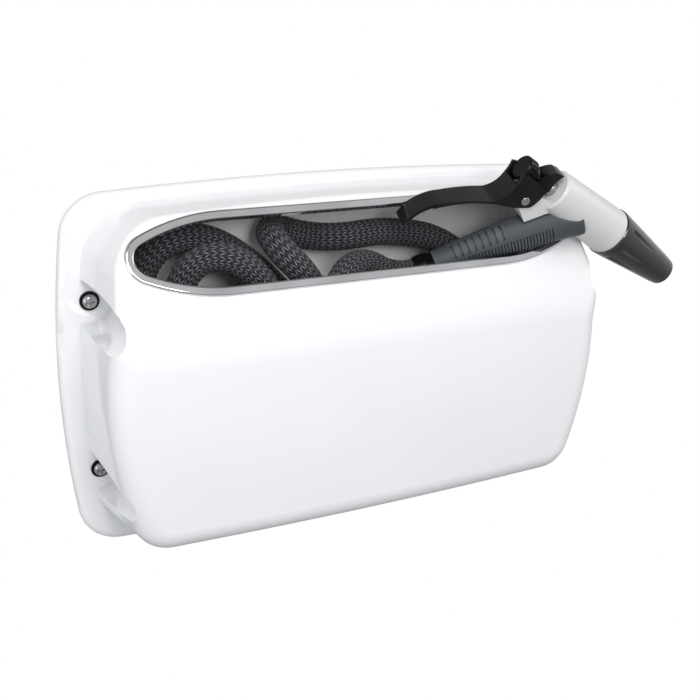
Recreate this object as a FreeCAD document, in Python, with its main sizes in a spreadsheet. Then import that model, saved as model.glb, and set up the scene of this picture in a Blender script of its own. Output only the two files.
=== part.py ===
import FreeCAD, Part
import math
import os
import re
import Sketcher
from FreeCAD import Rotation, Vector

# Hose pocket: a moulded wall housing with an open mouth, a coiled soft hose and a trigger nozzle.
# +X right, +Z up, wall plane at y = 0, the body stands out towards -Y.
# The origin is the centre of the four screws; lengths in mm, angles in degrees.

os.makedirs("parts", exist_ok=True)
doc = FreeCAD.newDocument("hose_pocket")
sheet = doc.addObject("Spreadsheet::Sheet", "Sizes")

sizes = [
    # housing: flange, pocket, mouth
    ("FlangeWide", 400.0), ("FlangeHigh", 261.0), ("FlangeThick", 7.5),
    ("FlangeTopBow", 6.0), ("FlangeSideBow", 10.7),
    ("FlangeCornerRadius", 30.0), ("FlangeEdgeRadius", 5.0),
    ("HousingRise", 5.2), ("WallThick", 3.0),
    ("PocketStart", 5.0), ("PocketReach", 100.0),
    ("BackHalfWide", 185.6), ("BackCornerHalf", 177.5), ("BackTop", 123.5), ("BackBottom", 113.0),
    ("BackTopBow", 6.0), ("BackBottomBow", 5.0),
    ("FrontHalfWide", 183.7), ("FrontTopHalf", 154.0), ("FrontBottomHalf", 161.0),
    ("FrontTop", 118.5), ("FrontBottom", 97.0), ("FrontTopBow", 6.0), ("FrontBottomBow", 2.0),
    ("PocketTopRadius", 42.0), ("PocketBottomRadius", 26.0),
    ("FrontDepth", 90.0), ("FrontCrown", 4.0), ("BrowRadius", 70.0),
    ("MouthTilt", 57.7), ("MouthDepth", 61.3), ("MouthRise", 94.3),
    ("FrontEdgeRadius", 17.0), ("MouthEdgeRadius", 5.0),
    ("ScoopRadius", 15.8), ("ScoopLean", 8.0), ("DrainRadius", 4.0), ("DrainSpacing", 90.0), ("DrainDepth", 30.0),
    # fixing to the wall
    ("ScrewSpacingWide", 355.0), ("ScrewSpacingHigh", 122.0), ("ScrewRadius", 2.4),
    ("ScrewHoleRadius", 2.7), ("ScrewHeadRadius", 4.8), ("ScrewHeadHigh", 3.2), ("ScrewReach", 25.0),
    ("ScrewNeckEnd", 0.3), ("ScrewStep", 0.7),
    ("ScrewTip", 3.0), ("CrossWide", 1.3), ("CrossLong", 5.4), ("CrossDeep", 1.9),
    ("WasherRadius", 6.6), ("WasherThick", 1.2), ("BossRadius", 8.0),
    # back panel, gasket and their screws
    ("PanelThick", 3.0), ("PanelLap", 4.0), ("GasketThick", 2.0), ("GasketWide", 12.0),
    ("GasketInset", 4.0), ("FitGap", 0.3),
    ("PanelBossRadius", 4.2), ("PanelBossLong", 14.0), ("PanelScrewX", 165.6), ("PanelScrewLow", 101.0),
    ("PanelScrewTopX", 161.0), ("PanelScrewTop", 107.0), ("PilotRadius", 1.5), ("PanelScrewRadius", 1.4),
    ("PanelScrewLong", 12.0), ("PanelHeadRadius", 3.1), ("PanelHeadHigh", 1.6),
    # trim ring round the mouth
    ("RingHalf", 166.0), ("RingHalfWide", 28.2), ("RingStraight", 100.0), ("RingTipRadius", 17.0),
    ("RingBand", 6.0), ("RingThick", 2.6), ("RingSkirt", 3.0), ("RingSkirtThick", 1.2), ("RingEdge", 1.6),
    # water inlet
    ("InletX", 126.0), ("InletZ", -80.0), ("InletRadius", 10.48), ("InletTail", 25.0), ("InletBore", 6.0),
    ("InletFlangeRadius", 15.0), ("InletFlangeThick", 1.7), ("InletNeck", 13.0), ("InletNutAcross", 27.0),
    ("InletNutHigh", 6.0), ("SealThick", 1.5), ("SealRadius", 14.5), ("ElbowRadius", 10.0),
    ("ElbowDepth", 22.0), ("ElbowReach", 16.0), ("CollarRadius", 11.6), ("CollarLong", 20.0),
    ("CollarGrip", 10.0), ("CollarGroove", 0.7), ("ThreadGap", 0.06),
    # hose
    ("HoseRadius", 9.75), ("HoseGap", 0.1),
    # nozzle: place and handle direction
    ("NozzleX", 159.0), ("NozzleAhead", 20.5), ("NozzleZ", 111.6),
    ("NozzleYaw", 2.03), ("NozzlePitch", 32.14), ("NozzleRoll", 22.71), ("HandleAngle", 124.0),
    # nozzle barrel and handle core
    ("BarrelRear", 33.0), ("BarrelFront", 32.0), ("BarrelRearRadius", 15.0), ("BarrelFrontRadius", 17.6),
    ("BarrelEdge", 1.4), ("SpigotRadius", 11.2), ("SpigotLong", 13.0), ("ChamberRadius", 7.0),
    ("ChamberRear", 25.0), ("SeatAt", 30.0), ("OutletRadius", 4.5), ("CoreRadius", 8.0), ("CoreBore", 5.0),
    ("CoreEnd", 112.0), ("LugHalf", 8.5), ("LugEye", 6.0),
    # grip
    ("GripStart", 4.0), ("GripHeadRadius", 16.8), ("GripHeadHalf", 17.6), ("GripNeck", 24.0),
    ("GripNeckRadius", 14.7), ("GripNeckHalf", 13.8), ("GripMid", 60.0),
    ("GripMidRadius", 13.6), ("GripMidHalf", 11.3), ("GripLow", 88.0), ("GripLowRadius", 11.8),
    ("GripLowHalf", 9.9), ("GripEndRadius", 10.8), ("GripEndHalf", 10.0), ("GripShift", 0.8),
    ("GripGap", 0.05), ("RibStart", 26.0), ("RibPitch", 2.35), ("RibWide", 1.1), ("RibDeep", 0.8),
    ("SlotStart", 60.0), ("SlotPitch", 5.2), ("SlotWide", 1.5), ("SlotLong", 9.0), ("SlotDeep", 1.4),
    # hose end on the nozzle
    ("OutletCollarRadius", 11.4), ("OutletCollarEnd", 126.0), ("OutletCollarGrip", 8.0),
    # lever, stem and knob
    ("PivotU", -51.6), ("PivotV", -15.5), ("PinRadius", 2.4), ("PinGap", 0.1), ("PinHeadRadius", 3.1),
    ("PinHeadThick", 1.0), ("LeverSpan", 100.0), ("HornHalf", 6.4), ("LeverHalf", 11.2), ("CheekThick", 2.3),
    ("ArmRear", -52.4),
    ("ArmFront", -38.9), ("ArmRelief", -48.6), ("StemSlotHalf", 5.0), ("StemSlotGap", 0.4),
    ("StemRadius", 3.0), ("StemRear", -64.0), ("StemHeadRadius", 6.0), ("StemHeadRear", 24.0),
    ("StemHeadFront", 28.2), ("SeatGap", 0.2), ("SealRingRadius", 5.6),
    ("GlandRadius", 5.5), ("GlandOut", 4.5), ("GlandNeckRadius", 4.9), ("GlandNeck", 5.0),
    ("GlandGap", 0.1), ("GlandNeckGap", 0.6),
    ("KnobRadius", 8.5), ("KnobRear", -66.0), ("KnobShoulder", -57.0), ("KnobFront", -52.8),
    ("HubRadius", 5.6), ("KnobFlute", 0.9), ("KnobEdge", 0.8), ("KnobFit", 0.08),
    ("SpringRadius", 5.1), ("SpringWire", 0.6),
    # tip
    ("TipRadius", 18.3), ("TipFrontRadius", 10.8), ("TipEnd", 102.5), ("TipCollar", 6.0),
    ("TipGap", 0.3), ("TipBoreRadius", 11.3), ("TipFlute", 3.4), ("TipFluteDeep", 1.5), ("TipMouthRadius", 8.2),
    ("TipMouthDeep", 4.0), ("TipEdge", 0.8), ("RingSealWire", 0.6),
    # shared overrun of cutting tools
    ("Overrun", 20.0),
]
for row, (word, number) in enumerate(sizes, 1):
    sheet.set("A%d" % row, word)
    sheet.set("B%d" % row, str(number))
    sheet.setAlias("B%d" % row, word)
doc.recompute()


def link(text):
    """The size names in an expression, tied to the sheet."""
    return re.sub(r"\b([A-Z]\w*)", r"Sizes.\1", str(text))


def val(text):
    return float(sheet.evalExpression(link(text)))


def pin(drawing, edge, end, x, y):
    here = drawing.getPoint(edge, end)
    for kind, value, text in (("DistanceX", here.x, x), ("DistanceY", here.y, y)):
        rule = drawing.addConstraint(Sketcher.Constraint(kind, -1, 1, edge, end, value))
        drawing.setExpression("Constraints[%d]" % rule, link(text))


def draw(drawing, loop):
    """A closed outline of (x, y) corners; a third entry is the point that an arc to the next corner passes."""
    def at(corner):
        return Vector(val(corner[0]), val(corner[1]), 0)

    if loop[0] == "circle":
        centre = at(loop[1:3])
        ring = drawing.addGeometry(Part.Circle(centre, Vector(0, 0, 1), val(loop[3])))
        pin(drawing, ring, 3, loop[1], loop[2])
        rule = drawing.addConstraint(Sketcher.Constraint("Radius", ring, val(loop[3])))
        drawing.setExpression("Constraints[%d]" % rule, link(loop[3]))
        return
    ends = []
    for here, there in zip(loop, loop[1:] + loop[:1]):
        start, stop = at(here), at(there)
        if len(here) == 2:
            ends.append((drawing.addGeometry(Part.LineSegment(start, stop)), 1, 2))
            continue
        middle = at(here[2])
        edge = drawing.addGeometry(Part.Arc(start, middle, stop))
        left = (middle - start).cross(stop - middle).z > 0
        ends.append((edge, 1, 2) if left else (edge, 2, 1))
        guide = drawing.addGeometry(Part.Point(middle), True)
        pin(drawing, guide, 1, here[2][0], here[2][1])
        drawing.addConstraint(Sketcher.Constraint("PointOnObject", guide, 1, edge))
    for this, following, corner in zip(ends, ends[1:] + ends[:1], loop[1:] + loop[:1]):
        drawing.addConstraint(Sketcher.Constraint("Coincident", this[0], this[2], following[0], following[1]))
        pin(drawing, following[0], following[1], corner[0], corner[1])


def solid_body(name):
    return doc.addObject("PartDesign::Body", name)


def sketch(body, name, plane, loops, offset="0"):
    """A drawing on one of the body's own planes: XZ looks along +Y, XY along -Z, YZ along -X."""
    drawing = body.newObject("Sketcher::SketchObject", name)
    planes = {feature.Role: feature for feature in body.Origin.OriginFeatures}
    drawing.AttachmentSupport = [(planes[plane + "_Plane"], "")]
    drawing.MapMode = "FlatFace"
    drawing.setExpression("AttachmentOffset.Base.z", link(offset))
    for loop in loops:
        draw(drawing, loop)
    doc.recompute()
    return drawing


def feature(body, kind, drawing, length="0", both=False, flip=False):
    made = body.newObject("PartDesign::" + kind, kind)
    made.Profile = drawing
    if both:
        made.SideType = "Symmetric"
    made.setExpression("Length", link(length))
    made.Reversed = flip
    doc.recompute()
    return made


def turned(body, drawing, kind="Revolution", axis="X_Axis"):
    made = body.newObject("PartDesign::" + kind, kind)
    made.Profile = drawing
    axes = {part.Role: part for part in body.Origin.OriginFeatures}
    made.ReferenceAxis = (axes[axis], [""])
    made.Angle = 360
    doc.recompute()
    return made


def edges(shape, test):
    return [number for number, edge in enumerate(shape.Edges, 1) if test(edge)]


def rounded(body, base, test, radius, kind="Fillet"):
    names = ["Edge%d" % number for number in edges(base.Shape, test)]
    made = body.newObject("PartDesign::" + kind, kind)
    made.Base = (base, names)
    made.setExpression("Radius" if kind == "Fillet" else "Size", link(radius))
    doc.recompute()
    return made


def join(kind, name, items):
    made = doc.addObject("Part::" + kind, name)
    if kind == "Cut":
        made.Base, made.Tool = items
    elif kind == "Compound":
        made.Links = items
    else:
        made.Shapes = items
    doc.recompute()
    return made


def cylinder(name, radius, height, base, turn=None):
    """A cylinder from base; turn is the rotation from +Z to its axis, as an expression."""
    made = doc.addObject("Part::Cylinder", name)
    made.setExpression("Radius", link(radius))
    made.setExpression("Height", link(height))
    place(made, base, turn)
    return made


def place(made, base, turn=None):
    spot = "vector(%s; %s; %s)" % tuple(link(part) for part in base)
    made.setExpression("Placement", "placement(%s; %s)" % (spot, link(turn or "rotation(0; 0; 0)")))


toFront = "rotation(vector(1; 0; 0); 90)"
signs = [(-1, -1), (-1, 1), (1, -1), (1, 1)]


# Housing
def bowedFrame(wide, high, sideBow, topBow, inset="0"):
    """A rectangle with four bowed sides, about the flange's centre."""
    side, top = "(%s/2-(%s))" % (wide, inset), "(%s/2-(%s))" % (high, inset)
    x, z = "(%s-%s)" % (side, sideBow), "(%s-%s)" % (top, topBow)
    return [
        ("-" + x, z, ("0", top)), (x, z, (side, "0")),
        (x, "-" + z, ("0", "-" + top)), ("-" + x, "-" + z, ("-" + side, "0")),
    ]


def plate(name, inset, depth, start="0", radius="FlangeCornerRadius"):
    """A plate with the flange's outline, from the depth start to start + depth."""
    body = solid_body(name)
    loop = bowedFrame("FlangeWide", "FlangeHigh", "FlangeSideBow", "FlangeTopBow", inset)
    pad = feature(body, "Pad", sketch(body, name + "Outline", "XZ", [loop], start), depth)
    rounded(body, pad, lambda edge: abs(edge.BoundBox.YLength - val(depth)) < 1e-6, radius)
    place(body, ("0", "0", "HousingRise"))
    doc.recompute()
    return body


flange = plate("flange", "0", "FlangeThick")
isFront = lambda edge: edge.BoundBox.YMax < -val("FlangeThick") + 1e-6
rounded(flange, flange.Tip, isFront, "FlangeEdgeRadius")


def pocketSection(name, half, topHalf, bottomHalf, top, bottom, topBow, bottomBow, depth, inset):
    drawing = doc.addObject("Sketcher::SketchObject", name)
    less = "-" + inset
    x1, x2, middle = ["(%s%s)" % (word, less) for word in (topHalf, bottomHalf, half)]
    high, low = "(%s%s)" % (top, less), "(%s%s)" % (bottom, less)
    z1, z2 = "(%s-%s)" % (high, topBow), "(%s-%s)" % (low, bottomBow)
    draw(drawing, [
        ("-" + x1, z1, ("0", high)), (x1, z1, (middle, "0")),
        (x2, "-" + z2, ("0", "-" + low)), ("-" + x2, "-" + z2, ("-" + middle, "0")),
    ])
    place(drawing, ("0", "-" + depth, "HousingRise"), toFront)
    return drawing


def pocketCutter(name, inset):
    """What lies in front of the slanted mouth face, the brow and the crowned front face."""
    body = solid_body(name)
    mouthY = "(MouthDepth-%s*sin(MouthTilt))" % inset
    mouthZ = "(MouthRise-%s*cos(MouthTilt))" % inset
    frontY = "(FrontDepth-%s)" % inset
    topZ = "(BackTop+2*Overrun)"
    topY = "-(%s-(%s-%s)/tan(MouthTilt))" % (mouthY, topZ, mouthZ)
    browZ = "(%s-(%s-%s)*tan(MouthTilt))" % (mouthZ, frontY, mouthY)
    lowZ = "-(BackBottom+Overrun)"
    farY = "-2*FrontDepth"
    loop = [
        (topY, topZ), ("-" + frontY, browZ, ("-(%s-FrontCrown/4)" % frontY, "(%s+%s)/2" % (browZ, lowZ))),
        ("-(%s-FrontCrown)" % frontY, lowZ), (farY, lowZ), (farY, topZ),
    ]
    pad = feature(body, "Pad", sketch(body, name + "Outline", "YZ", [loop]), "2*FlangeWide", both=True)
    brow = Vector(0, -val(frontY), val(browZ))
    onBrow = lambda edge: abs(edge.CenterOfMass.y - brow.y) < 1e-3 and abs(edge.CenterOfMass.z - brow.z) < 1e-3
    rounded(body, pad, onBrow, "BrowRadius-" + inset)
    place(body, ("0", "0", "HousingRise"))
    doc.recompute()
    return body, val(browZ) + val("HousingRise")


def pocketForm(name, inset):
    """The bulge: a ruled loft between two bowed sections, its long edges rounded, cut by the front."""
    sections = [
        pocketSection(name + "Back", "BackHalfWide", "BackCornerHalf", "BackCornerHalf", "BackTop", "BackBottom",
                      "BackTopBow", "BackBottomBow", "PocketStart", inset),
        pocketSection(name + "Front", "FrontHalfWide", "FrontTopHalf", "FrontBottomHalf", "FrontTop",
                      "FrontBottom", "FrontTopBow", "FrontBottomBow", "PocketReach", inset),
    ]
    loft = doc.addObject("Part::Loft", name + "Loft")
    loft.Sections, loft.Solid, loft.Ruled = sections, True, True
    doc.recompute()
    long = lambda edge: edge.BoundBox.YLength > val("PocketReach") / 2
    high = lambda edge: edge.CenterOfMass.z > val("FrontTop") / 2
    low = lambda edge: edge.CenterOfMass.z < -val("FrontBottom") / 2
    base = loft
    for test, radius in ((high, "PocketTopRadius"), (low, "PocketBottomRadius")):
        corners = [edge for edge in edges(base.Shape, lambda edge: long(edge) and test(edge))]
        if test is low:
            shape = base.Shape
            corners = [number for number in corners if isSharp(shape, shape.Edges[number - 1])]
        size = val("%s-%s" % (radius, inset))
        corner = doc.addObject("Part::Fillet", name + radius)
        corner.Base = base
        corner.Edges = [(number, size, size) for number in corners]
        doc.recompute()
        base = corner
    cutter, browZ = pocketCutter(name + "Cutter", inset)
    return join("Cut", name, (base, cutter)), cutter, browZ


def isSharp(shape, edge):
    """True where the two faces at an edge meet at an angle."""
    faces = [face for face in shape.Faces if any(part.isSame(edge) for part in face.Edges)]
    point = edge.valueAt((edge.FirstParameter + edge.LastParameter) / 2)
    normals = []
    for face in faces:
        u, v = face.Surface.parameter(point)
        normals.append(face.Surface.normal(u, v))
    return len(normals) == 2 and abs(normals[0].dot(normals[1])) < 0.97


def onTool(edge, tool):
    span = edge.LastParameter - edge.FirstParameter
    points = [edge.valueAt(edge.FirstParameter + span * share) for share in (0, 0.5, 1)]
    return all(tool.Shape.Shells[0].distToShape(Part.Vertex(point))[0] < 1e-3 for point in points)


def softened(name, inset):
    """The pocket form with its front edges rounded: wide round the front, narrow round the mouth face."""
    form, tool, browZ = pocketForm(name, inset)
    straightAcross = lambda edge: edge.BoundBox.ZLength < 1e-3 and edge.BoundBox.YLength < 1e-3
    rim = edges(form.Shape, lambda edge: onTool(edge, tool) and not straightAcross(edge))
    wide, narrow = val("FrontEdgeRadius-1.4*" + inset), val("MouthEdgeRadius-" + inset)
    size = lambda vertex: wide if vertex.Point.z < browZ else narrow
    soft = doc.addObject("Part::Fillet", name + "Soft")
    soft.Base = form
    ends = [(number, form.Shape.Edges[number - 1].Vertexes) for number in rim]
    soft.Edges = [(number, size(pair[0]), size(pair[-1])) for number, pair in ends]
    doc.recompute()
    return soft


soft = softened("bulge", "0")
cavity = softened("cavity", "WallThick")


def screwSpots(depth):
    return [("%d*ScrewSpacingWide/2" % x, depth, "%d*ScrewSpacingHigh/2" % z) for x, z in signs]


def screwSet(name, radius, height, depth):
    """Four cylinders on the wall screws' axes, from the depth outwards."""
    rods = [cylinder("%s%d" % (name, number), radius, height, spot, toFront)
            for number, spot in enumerate(screwSpots(depth))]
    doc.recompute()
    return join("Compound", name, rods)


outer = join("MultiFuse", "outerForm", [flange, soft])


def scoopSet(name, radius):
    """Four rods through the screws' places on the flange's face, leaning outwards towards the front."""
    rods = []
    for number, (x, z) in enumerate(signs):
        turn = "rotation(vector(0; 0; 1); %d*ScoopLean) * %s" % (x, toFront)
        start = ("%d*(ScrewSpacingWide/2-PocketReach*tan(ScoopLean))" % x, "PocketReach-FlangeThick",
                 "%d*ScrewSpacingHigh/2" % z)
        rods.append(cylinder("%s%d" % (name, number), radius, "3*PocketReach", start, turn))
    doc.recompute()
    return join("Compound", name, rods)


behindFace = doc.addObject("Part::Box", "behindFace")
for side, text in zip(("Length", "Width", "Height"), ("2*FlangeWide", "2*PocketReach", "2*FlangeHigh")):
    behindFace.setExpression(side, link(text))
place(behindFace, ("-FlangeWide", "-FlangeThick", "-FlangeHigh"))
scoops = join("Cut", "scoops", (scoopSet("scoopRods", "ScoopRadius"), behindFace))
scooped = join("Cut", "scoopedForm", (outer, scoops))
inside = join("Cut", "inside", (cavity, scoopSet("scoopWalls", "ScoopRadius+WallThick")))


def ringOutline(inset):
    """Two straight sides with three-centred ends, in the mouth's plane."""
    run = "(RingHalf-RingStraight)"
    big = "((%s^2+RingHalfWide^2-2*%s*RingTipRadius)/(2*(RingHalfWide-RingTipRadius)))" % (run, run)
    across = "(RingHalf-RingTipRadius-RingStraight)"
    down = "(%s-RingHalfWide)" % big
    reach = "(%s-RingTipRadius)" % big
    tip = "(RingTipRadius-%s)" % inset
    wide = "(RingHalfWide-%s)" % inset
    half = "(RingHalf-%s)" % inset
    x = "(RingHalf-RingTipRadius+%s*%s/%s)" % (tip, across, reach)
    y = "(%s*%s/%s)" % (tip, down, reach)
    lean = "(asin(%s/%s)/2)" % (across, reach)
    viaX = "(RingStraight+(%s-%s)*sin(%s))" % (big, inset, lean)
    viaY = "((%s-%s)*cos(%s)-%s)" % (big, inset, lean, down)
    return [
        ("RingStraight", "-" + wide, (viaX, "-" + viaY)), (x, "-" + y, (half, "0")),
        (x, y, (viaX, viaY)), ("RingStraight", wide),
        ("-RingStraight", wide, ("-" + viaX, viaY)), ("-" + x, y, ("-" + half, "0")),
        ("-" + x, "-" + y, ("-" + viaX, "-" + viaY)), ("-RingStraight", "-" + wide),
    ]


def onMouth(made):
    place(made, ("0", "-MouthDepth", "MouthRise+HousingRise"), "rotation(vector(1; 0; 0); MouthTilt)")
    doc.recompute()


mouthTool = solid_body("mouthTool")
opening = ringOutline("(RingBand-RingSkirtThick-FitGap)")
feature(mouthTool, "Pad", sketch(mouthTool, "mouthOutline", "XY", [opening]), "2*Overrun", both=True)
onMouth(mouthTool)

gasketSeat = plate("gasketSeat", "GasketInset", "GasketThick", radius="FlangeCornerRadius-GasketInset")
panelDepth = "(PocketStart-GasketThick)"


def panelForm(name, gap, depth, start):
    """The back panel's outline: the cavity's with a lap all round."""
    body = solid_body(name)
    half, x = "(BackHalfWide-WallThick+PanelLap-%s)" % gap, "(BackCornerHalf-WallThick+PanelLap-%s)" % gap
    top, low = "(BackTop-WallThick+PanelLap-%s)" % gap, "(BackBottom-WallThick+PanelLap-%s)" % gap
    z1, z2 = "(%s-BackTopBow)" % top, "(%s-BackBottomBow)" % low
    loop = [
        ("-" + x, z1, ("0", top)), (x, z1, (half, "0")),
        (x, "-" + z2, ("0", "-" + low)), ("-" + x, "-" + z2, ("-" + half, "0")),
    ]
    pad = feature(body, "Pad", sketch(body, name + "Outline", "XZ", [loop], start), depth)
    rounded(body, pad, lambda edge: abs(edge.BoundBox.YLength - val(depth)) < 1e-6, "PocketBottomRadius-" + gap)
    place(body, ("0", "0", "HousingRise"))
    doc.recompute()
    return body


panelSeat = panelForm("panelSeat", "0", "PocketStart", "0")
screwBosses = screwSet("screwBosses", "BossRadius", "2*PocketReach", "PocketReach")
recess = join("Cut", "backRecess", (join("MultiFuse", "backSeats", [gasketSeat, panelSeat]), screwBosses))

panelSpots = [
    ("%d*PanelScrewX" % x, "HousingRise-PanelScrewLow") if z < 0 else
    ("%d*PanelScrewTopX" % x, "HousingRise+PanelScrewTop") for x, z in signs
]


def panelSet(name, radius, height, depth):
    rods = [cylinder("%s%d" % (name, number), radius, height, (x, depth, z), toFront)
            for number, (x, z) in enumerate(panelSpots)]
    doc.recompute()
    return join("Compound", name, rods)


bossRods = panelSet("panelBossRods", "PanelBossRadius", "PanelBossLong", "-PocketStart")
bosses = join("MultiCommon", "panelBosses", [bossRods, soft])
pilots = panelSet("panelPilots", "PilotRadius", "PanelBossLong-WallThick/2", "-PocketStart")

drains = join("Compound", "drains", [
    cylinder("drain%d" % number, "DrainRadius", "2*Overrun",
             ("%d*DrainSpacing" % number, "-DrainDepth", "HousingRise-BackBottom-Overrun"))
    for number in (-1, 0, 1)
])
hollow = join("Cut", "hollowForm", (scooped, inside))
bossed = join("MultiFuse", "bossedForm", [hollow, bosses])
screwHoles = screwSet("screwHoles", "ScrewHoleRadius", "2*Overrun", "Overrun")
cuts = join("Compound", "housingCuts", [mouthTool, recess, pilots, drains, screwHoles])
housing = join("Cut", "housing", (bossed, cuts))


# Trim ring
ring = solid_body("mouth_trim_ring")
band = [ringOutline("0"), ringOutline("RingBand")]
pad = feature(ring, "Pad", sketch(ring, "bandOutline", "XY", band), "RingThick")
outerTop = lambda edge: edge.BoundBox.ZMin > val("RingThick") - 1e-6
ringRound = rounded(ring, pad, outerTop, "RingEdge")
skirt = [ringOutline("(RingBand-RingSkirtThick)"), ringOutline("RingBand")]
feature(ring, "Pad", sketch(ring, "skirtOutline", "XY", skirt), "RingSkirt", flip=True)
onMouth(ring)


# Back panel, gasket and their screws
panelBlank = panelForm("panelBlank", "FitGap", panelDepth, "GasketThick")
bossClear = screwSet("bossClear", "BossRadius+FitGap", "2*PocketReach", "PocketReach")
panelHoles = panelSet("panelHoles", "PilotRadius+FitGap", "2*Overrun", "Overrun")
inletHole = cylinder("inletHole", "InletRadius+FitGap", "2*Overrun", ("InletX", "Overrun", "InletZ"), toFront)
panel = join("Cut", "back_panel", (panelBlank, join("Compound", "panelCuts", [bossClear, panelHoles, inletHole])))

gasketBlank = plate("gasketBlank", "(GasketInset+FitGap)", "GasketThick",
                    radius="FlangeCornerRadius-GasketInset")
gasketHole = plate("gasketHole", "(GasketInset+GasketWide)", "2*GasketThick", "0-GasketThick/2",
                   radius="FlangeCornerRadius-GasketInset-GasketWide/2")
gasketClear = screwSet("gasketClear", "BossRadius+FitGap", "2*PocketReach", "PocketReach")
headClear = panelSet("headClear", "PanelHeadRadius+FitGap", "2*Overrun", "Overrun")
gasketCuts = join("Compound", "gasketCuts", [gasketHole, gasketClear, headClear])
gasket = join("Cut", "wall_gasket", (gasketBlank, gasketCuts))


def screwForm(name, spot, headAt, headRadius, headHigh, radius, reach, tip, cross):
    """A pan-head screw with a cross recess: its head stands out to headAt + headHigh, its shank runs back."""
    body = solid_body(name)
    loop = [
        ("0", "-(%s)" % headAt), (headRadius, "-(%s)" % headAt),
        (headRadius, "-(%s+%s*0.35)" % (headAt, headHigh),
         ("%s*0.78" % headRadius, "-(%s+%s*0.84)" % (headAt, headHigh))),
        ("%s*0.45" % headRadius, "-(%s+%s)" % (headAt, headHigh)), ("0", "-(%s+%s)" % (headAt, headHigh)),
    ]
    shank = [
        ("0", "-(%s)" % headAt), ("0", reach), (radius + "/4", reach), (radius, "%s-%s" % (reach, tip)),
        (radius, "ScrewNeckEnd"), (radius + "-ScrewStep", "ScrewNeckEnd"),
        (radius + "-ScrewStep", "-(%s)" % headAt),
    ]
    turned(body, sketch(body, name + "Head", "XY", [loop]), axis="Y_Axis")
    turned(body, sketch(body, name + "Shank", "XY", [shank]), axis="Y_Axis")
    wide, long = "CrossWide/2*%s" % cross, "CrossLong/2*%s" % cross
    box = lambda x, z: [("-" + x, "-" + z), (x, "-" + z), (x, z), ("-" + x, z)]
    for number, (x, z) in enumerate(((wide, long), (long, wide))):
        drawing = sketch(body, "%sCross%d" % (name, number), "XZ", [box(x, z)], "%s+%s" % (headAt, headHigh))
        feature(body, "Pocket", drawing, "CrossDeep*%s" % cross)
    place(body, spot)
    doc.recompute()
    return body


screwHeadAt = "(FlangeThick+WasherThick)"
mountScrews = join("Compound", "mounting_screws", [
    screwForm("mountScrew%d" % number, (x, "0", z), screwHeadAt, "ScrewHeadRadius", "ScrewHeadHigh",
              "ScrewRadius", "ScrewReach", "ScrewTip", "1")
    for number, (x, _, z) in enumerate(screwSpots("0"))
])


def ringPlate(name, spot, inner, outer, thick, depth):
    body = solid_body(name)
    drawing = sketch(body, name + "Outline", "XZ", [("circle", "0", "0", outer), ("circle", "0", "0", inner)], depth)
    pad = feature(body, "Pad", drawing, thick)
    front = lambda edge: edge.BoundBox.YMax < -val("%s+%s" % (depth, thick)) + 1e-6
    rounded(body, pad, front, thick + "/4")
    place(body, spot)
    doc.recompute()
    return body


washers = join("Compound", "mounting_washers", [
    ringPlate("washer%d" % number, (x, "0", z), "ScrewHoleRadius", "WasherRadius", "WasherThick", "FlangeThick")
    for number, (x, _, z) in enumerate(screwSpots("0"))
])


def panelScrew(name, x, z):
    body = solid_body(name)
    loop = [
        ("0", "-GasketThick+PanelHeadHigh"), ("PanelHeadRadius*0.6", "-GasketThick+PanelHeadHigh"),
        ("PanelHeadRadius", "-GasketThick+PanelHeadHigh/2"), ("PanelHeadRadius", "-GasketThick"),
        ("PanelScrewRadius", "-GasketThick"), ("PanelScrewRadius", "-GasketThick-PanelScrewLong*0.85"),
        ("0", "-GasketThick-PanelScrewLong"),
    ]
    turned(body, sketch(body, name + "Outline", "XY", [loop]), axis="Y_Axis")
    place(body, (x, "0", z))
    doc.recompute()
    return body


panelScrews = join("Compound", "panel_screws", [
    panelScrew("panelScrew%d" % number, x, z) for number, (x, z) in enumerate(panelSpots)
])


# Water inlet
def onInlet(made):
    place(made, ("InletX", "0", "InletZ"))
    doc.recompute()


bulkhead = solid_body("inlet_bulkhead")
flangeBack = "-GasketThick+InletFlangeThick"
neckEnd = "-(PocketStart+InletNeck)"
loop = [
    ("InletBore", "InletTail"), ("InletRadius-ThreadGap*10", "InletTail"), ("InletRadius", "InletTail-InletBore/4"),
    ("InletRadius", flangeBack), ("InletFlangeRadius", flangeBack), ("InletFlangeRadius", "-GasketThick"),
    ("InletRadius", "-GasketThick"), ("InletRadius", neckEnd), ("InletBore", neckEnd),
]
turned(bulkhead, sketch(bulkhead, "bulkheadOutline", "XY", [loop]), axis="Y_Axis")
onInlet(bulkhead)

sealWasher = ringPlate("inlet_seal_washer", ("InletX", "0", "InletZ"), "InletRadius+ThreadGap", "SealRadius",
                       "SealThick", "PocketStart")

nut = solid_body("inlet_nut")
acrossHalf = "InletNutAcross/2"
corner = "(InletNutAcross/2/cos(30))"
hexagon = [
    (corner, "0"), (corner + "/2", acrossHalf), ("-%s/2" % corner, acrossHalf),
    ("-" + corner, "0"), ("-%s/2" % corner, "-" + acrossHalf), (corner + "/2", "-" + acrossHalf),
]
nutStart = "PocketStart+SealThick"
drawing = sketch(nut, "nutOutline", "XZ", [hexagon, ("circle", "0", "0", "InletRadius+ThreadGap")], nutStart)
feature(nut, "Pad", drawing, "InletNutHigh")
onInlet(nut)

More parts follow.
